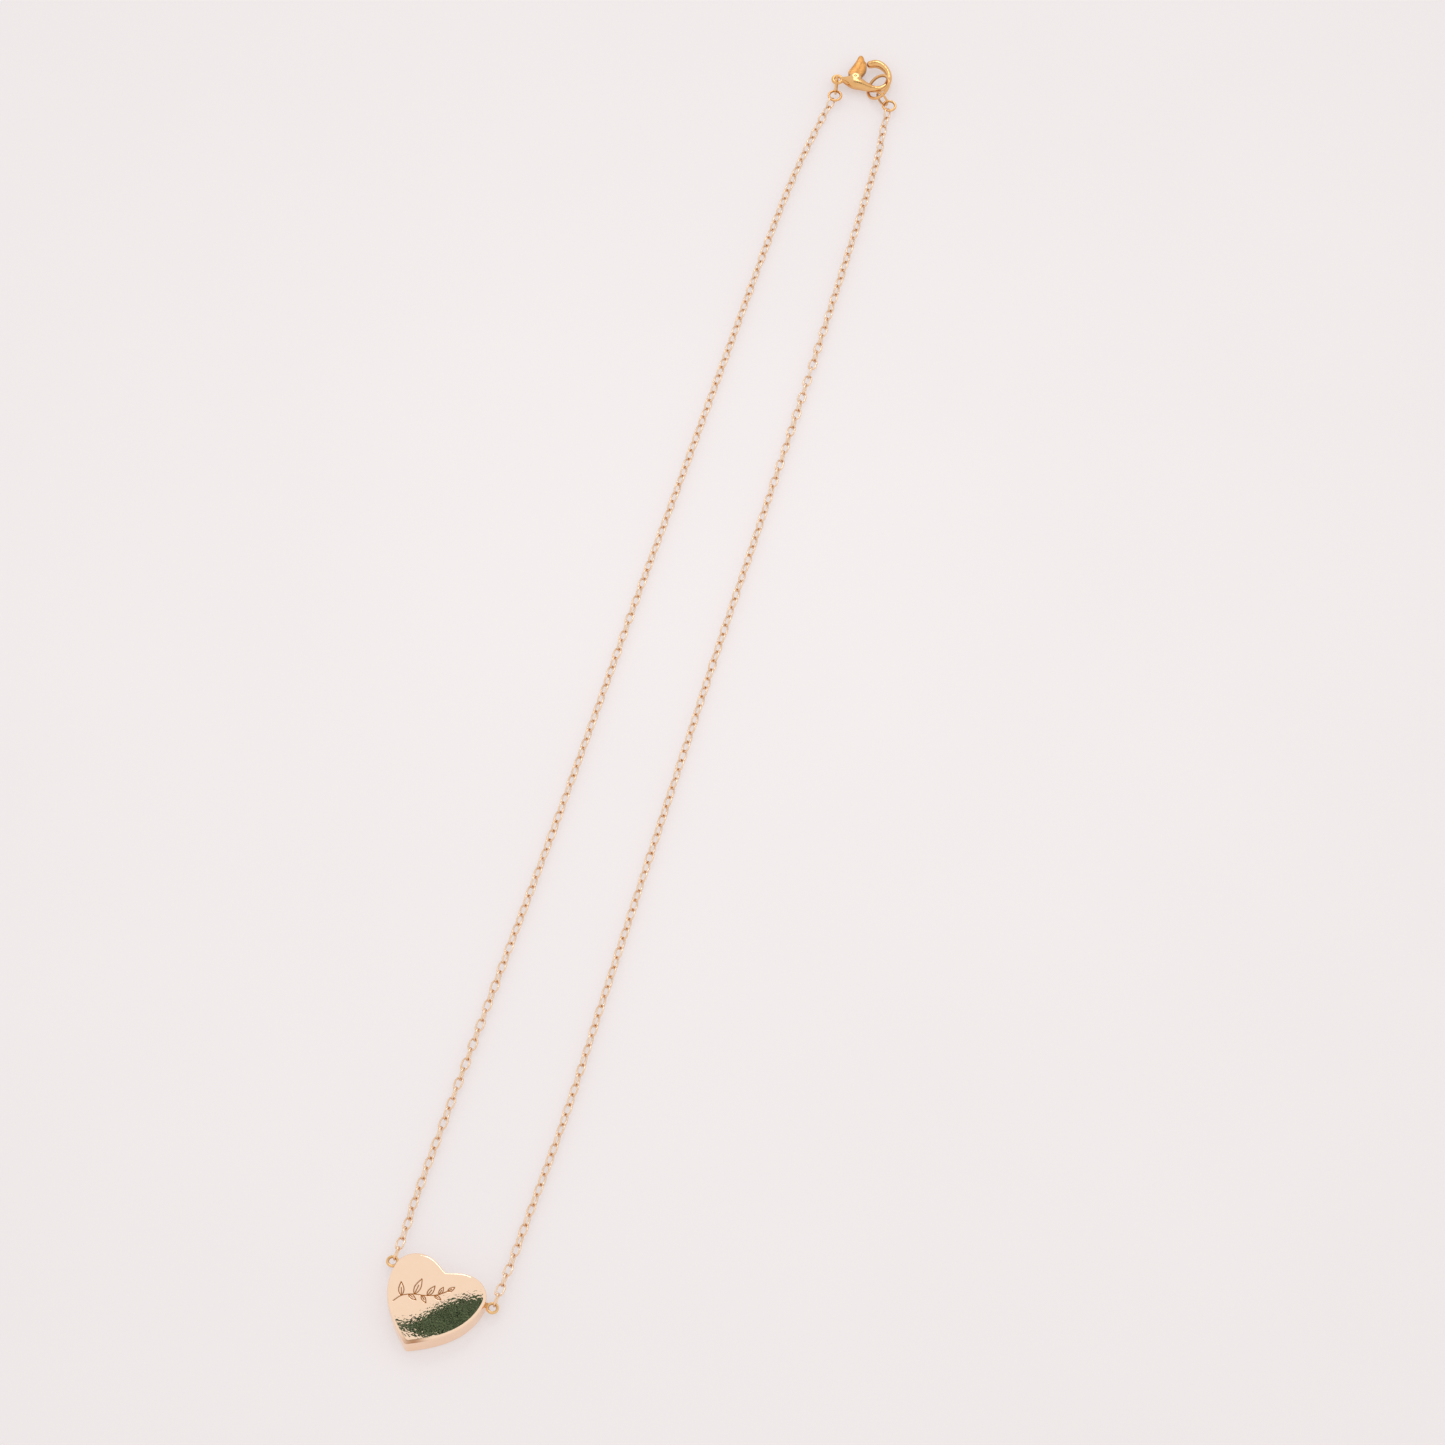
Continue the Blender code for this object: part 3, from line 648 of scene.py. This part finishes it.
for side, body in (("left", "clasp"), ("right", "catch")):
    middle, _ = box_middle(f"end_ring_{side}")
    add_ring(
        f"flat_ring_{side}", body, f"end_ring_{side}", clasp_gold, "chain_gold",
        middle, END_RADIUS, END_WIRE, X_AXIS, Y_AXIS,
    )
    # A ring on edge reaches its radius times its heading each way, plus its wire.
    middle, reach = box_middle(f"jump_ring_{side}")
    radius = reach[2] - JUMP_WIRE
    across, up_chain = (reach[:2] - JUMP_WIRE) / radius
    heading = unit(np.array([-across, up_chain, 0.0]))
    add_ring(
        f"jump_ring_{side}_wire", body, f"jump_ring_{side}", clasp_gold, "clasp_gold",
        middle, radius, JUMP_WIRE, heading, Z_AXIS,
    )
middle, _ = box_middle("catch_ring")
tilted = U_AXIS * math.cos(CATCH_TILT) + Z_AXIS * math.sin(CATCH_TILT)
add_ring(
    "catch_ring_wire", "catch", "catch_ring", clasp_gold, "clasp_gold",
    middle, CATCH_RADIUS, CATCH_WIRE, tilted, V_AXIS,
)


# ---- Clasp: a small lobster clasp. Its body is one brass casting, a fat bar that runs from the tail eye to
# the hook, slotted for the lever. The lever turns on a riveted pin, and a bent steel leaf pushes it shut.
CLASP_TAIL = np.array([-43.03, 214.75, 1.22]) * MM
# All in millimetres from the tail, along U and V. The fits are a bore's room round the pin.
PIVOT = np.array([2.85, 0.10])
PIN_RADIUS = 0.24
BODY_FIT = 0.02
LEVER_FIT = 0.03
EYE_RADIUS = 0.68
EYE_WIRE = 0.30
CASTING_CELL = 0.05
SLOT_HALF = 0.42
LEVER_HALF = 0.36
LEVER_EASE = 0.22
# The bar's middle line: U, V, half width, half thickness.
CLAW = [
    (0.85, 0.00, 0.46, 0.40), (1.65, -0.25, 0.85, 0.70), (2.6, -0.60, 1.12, 0.86), (3.5, -0.98, 1.00, 0.84),
    (4.5, -1.50, 0.72, 0.70), (5.6, -1.92, 0.54, 0.56), (6.8, -1.90, 0.48, 0.52), (7.75, -1.20, 0.48, 0.52),
    (8.15, 0.10, 0.48, 0.54), (8.00, 1.30, 0.50, 0.58), (7.30, 2.45, 0.58, 0.64), (6.3, 3.08, 0.66, 0.66),
    (5.17, 2.97, 0.60, 0.58),
]
# The round cheeks, as a turned profile of radius and height.
BOSS = [
    (0.35, -0.86), (0.62, -0.84), (0.82, -0.74), (0.92, -0.5), (0.92, 0.5), (0.82, 0.74), (0.62, 0.84),
    (0.35, 0.86),
]
# The slot and the lever's outline, from the pivot. The slot stops short of the hook's tip.
SLOT = [(-1.5, -0.8), (1.1, -0.8), (1.9, 1.6), (-1.5, 1.6)]
LEVER = [
    (0.52, -0.10), (0.80, 0.20), (1.38, 0.90), (1.72, 1.60), (1.84, 2.30), (1.78, 2.90), (1.52, 3.30),
    (1.42, 3.75), (1.30, 4.15), (1.05, 4.38), (0.78, 4.38), (0.55, 4.10), (0.12, 3.20), (-0.42, 2.30),
    (-0.95, 1.50), (-1.10, 0.95), (-0.66, 0.20), (-0.36, -0.36), (0.10, -0.51),
]


def swept_bar(stations, sides=28):
    """Bar along a curve in its own plane, whose half width and half thickness follow the stations. Its
    section is an ellipse with slightly flattened sides, and each end closes in over a quarter ellipse."""
    line, _ = smooth_line(np.array(stations))
    line = line[::4]
    ahead = unit(np.gradient(line[:, :2], axis=0))
    dome = np.linspace(math.pi / 2, 0.0, 6, endpoint=False)[1:, None]
    caps = []
    for end, sign in ((0, -1), (-1, 1)):
        out = sign * 0.75 * line[end, 2] * ahead[end] * np.sin(dome)
        caps.append(np.hstack([line[end, :2] + out, line[end, 2:] * np.cos(dome)]))
    line = np.vstack([caps[0], line, caps[1][::-1]])
    ahead = np.vstack([np.repeat(ahead[:1], len(dome), 0), ahead, np.repeat(ahead[-1:], len(dome), 0)])
    across = np.stack([-ahead[:, 1], ahead[:, 0]], 1)
    a = np.arange(sides) * 2 * math.pi / sides
    wide = np.sign(np.cos(a)) * np.abs(np.cos(a)) ** 0.9
    plan = line[:, None, :2] + across[:, None] * line[:, 2, None, None] * wide[:, None]
    return np.dstack([plan, line[:, 3, None] * np.sin(a)])


def turned(profile, centre, around=48):
    """A profile of (radius, height) turned about an upright axis through the centre."""
    a = np.arange(around) * 2 * math.pi / around
    r, z = np.array(profile).T
    plan = np.array(centre) + r[:, None, None] * np.stack([np.cos(a), np.sin(a)], -1)
    return np.dstack([plan, np.broadcast_to(z[:, None], plan.shape[:2])])


def plate(outline, half):
    """A flat plate: the outline joined closed through its points, upright at its edge, at two heights."""
    xy = np.array(outline, float)
    count = len(xy)
    mesh = bpy.data.meshes.new("plate")
    points = np.vstack([np.column_stack([xy, np.full(count, z)]) for z in (-half, half)])
    sides = [(i, (i + 1) % count, count + (i + 1) % count, count + i) for i in range(count)]
    mesh.from_pydata(points.tolist(), [], [tuple(range(count))[::-1], tuple(range(count, 2 * count)), *sides])
    return mesh


def closed_curve(points):
    """Catmull-Rom curve round a closed outline, ten steps a span. Two spans lead in before its first."""
    p = np.array(points)
    line, _ = smooth_line(np.vstack([p[-2:], p, p[:3]]))
    return line[2 * LINE_STEPS : (2 + len(p)) * LINE_STEPS : LINE_STEPS // 10]


def bore_of(fit):
    """A cutter for the pin's bore: an upright rod round the pivot, wider than the pin by the fit."""
    radius = PIN_RADIUS + fit
    return skin("bore", turned([(0.01, -2), (radius, -2), (radius, 2), (0.01, 2)], PIVOT), "poles")


def clasp_part(name, mesh, cutters, finish, melt=None, bevel=None):
    """Finishes one clasp part, drawn in millimetres in U, V and height. It may be melted into one casting
    on cells of that size and softened, is cut by each cutter, may have its edges eased, and is then put
    in its place in metres."""
    work = bpy.data.objects.new(name, mesh)
    scene.collection.objects.link(work)
    if melt:
        cells = work.modifiers.new("melt", "REMESH")
        cells.mode = "VOXEL"
        cells.voxel_size = melt
        soft = work.modifiers.new("soften", "SMOOTH")
        soft.factor = 0.5
        soft.iterations = 10
    tools = []
    for cutter in cutters:
        tools.append(bpy.data.objects.new("cutter", cutter))
        scene.collection.objects.link(tools[-1])
        step = work.modifiers.new("cut", "BOOLEAN")
        step.operation = "DIFFERENCE"
        step.object = tools[-1]
    if bevel:
        ease = work.modifiers.new("ease", "BEVEL")
        ease.width = bevel
        ease.segments = 3
        ease.angle_limit = math.radians(50)
    bpy.context.view_layer.update()
    made = bpy.data.meshes.new_from_object(work.evaluated_get(bpy.context.evaluated_depsgraph_get()))
    for used in [work, *tools]:
        bpy.data.objects.remove(used)
    co = np.zeros(len(made.vertices) * 3, np.float32)
    made.vertices.foreach_get("co", co)
    co = co.reshape(-1, 3).astype(float) * MM
    placed = CLASP_TAIL + co[:, :1] * U_AXIS + co[:, 1:2] * V_AXIS + co[:, 2:] * Z_AXIS
    made.vertices.foreach_set("co", placed.astype(np.float32).ravel())
    made.shade_smooth()
    made.set_sharp_from_angle(angle=math.radians(42))
    made.materials.clear()
    return object_from(name, made, finish)


joined = bmesh.new()
joined.from_mesh(skin("bar", swept_bar(CLAW), "poles"))
joined.from_mesh(skin("eye", ring_surface((0, 0, 0), EYE_RADIUS, EYE_WIRE, X_AXIS, Y_AXIS)))
joined.from_mesh(skin("boss", turned(BOSS, PIVOT), "poles"))
body_mesh = bpy.data.meshes.new("casting")
joined.to_mesh(body_mesh)
joined.free()
body_cutters = [plate(PIVOT + SLOT, SLOT_HALF), bore_of(BODY_FIT)]
clasp_body = clasp_part("clasp_casting", body_mesh, body_cutters, clasp_gold, melt=CASTING_CELL)
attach(clasp_body, "clasp")
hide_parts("clasp_body")

# Lever stamped from sheet and plated as it came, so rougher than the cast body. Its browner, less bright
# colour is painted shade.
lever_gold = gold_plate("lever_plate_painted_shade", "#DCA668", "#B0773A", "#643C12", 0.30, 0.0004, 0.12)
lever_blank = plate(PIVOT + closed_curve(LEVER), LEVER_HALF)
lever = clasp_part("clasp_thumb_lever", lever_blank, [bore_of(LEVER_FIT)], lever_gold, bevel=LEVER_EASE)
co = np.zeros(len(lever.data.vertices) * 3, np.float32)
lever.data.vertices.foreach_get("co", co)
from_pivot = (co.reshape(-1, 3) - CLASP_TAIL) @ np.stack([U_AXIS, V_AXIS], 1) / MM - PIVOT
# Painted shade, deepest in an oval along its inner side, where the gate shuts against the hook.
LEVER_SHADE, LEVER_SHADE_MIDDLE, LEVER_SHADE_REACH = 0.85, (0.9, 1.9), (0.75, 1.3)
store_marks_and_shade(lever.data, LEVER_SHADE * np.exp(-(((from_pivot - LEVER_SHADE_MIDDLE) / LEVER_SHADE_REACH) ** 2).sum(1)))
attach(lever, "lever")
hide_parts("clasp_lever")

# Pin: a rod with both ends peened to a low dome, given as radius and height from the middle up.
PIN_HEAD = [(PIN_RADIUS, 0.78), (0.21, 0.84), (0.14, 0.875), (0.05, 0.89)]
pin_profile = [(r, -z) for r, z in PIN_HEAD[::-1]] + PIN_HEAD
pin = clasp_part("rivet_pin", skin("pin", turned(pin_profile, PIVOT), "poles"), [], clasp_gold)
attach(pin, "clasp")
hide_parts("clasp_pin")

# Spring steel leaf, bent round the pivot from 205 to 335 degrees: grey, rolled smooth.
LEAF_INNER, LEAF_OUTER = 0.61, 0.71
LEAF_HALF = 0.25
leaf_steel = gold_plate("rolled_spring_steel", "#A9A6A0", "#8F8C86", "#5C5A56", 0.28, 0.0002, 0.03)
a = np.radians(np.linspace(205, 335, 27))
arc = np.stack([np.cos(a), np.sin(a)], 1)
leaf = PIVOT + np.vstack([LEAF_OUTER * arc, LEAF_INNER * arc[::-1]])
spring = clasp_part("spring_leaf", plate(leaf, LEAF_HALF), [], leaf_steel)
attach(spring, "clasp")
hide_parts("clasp_spring")
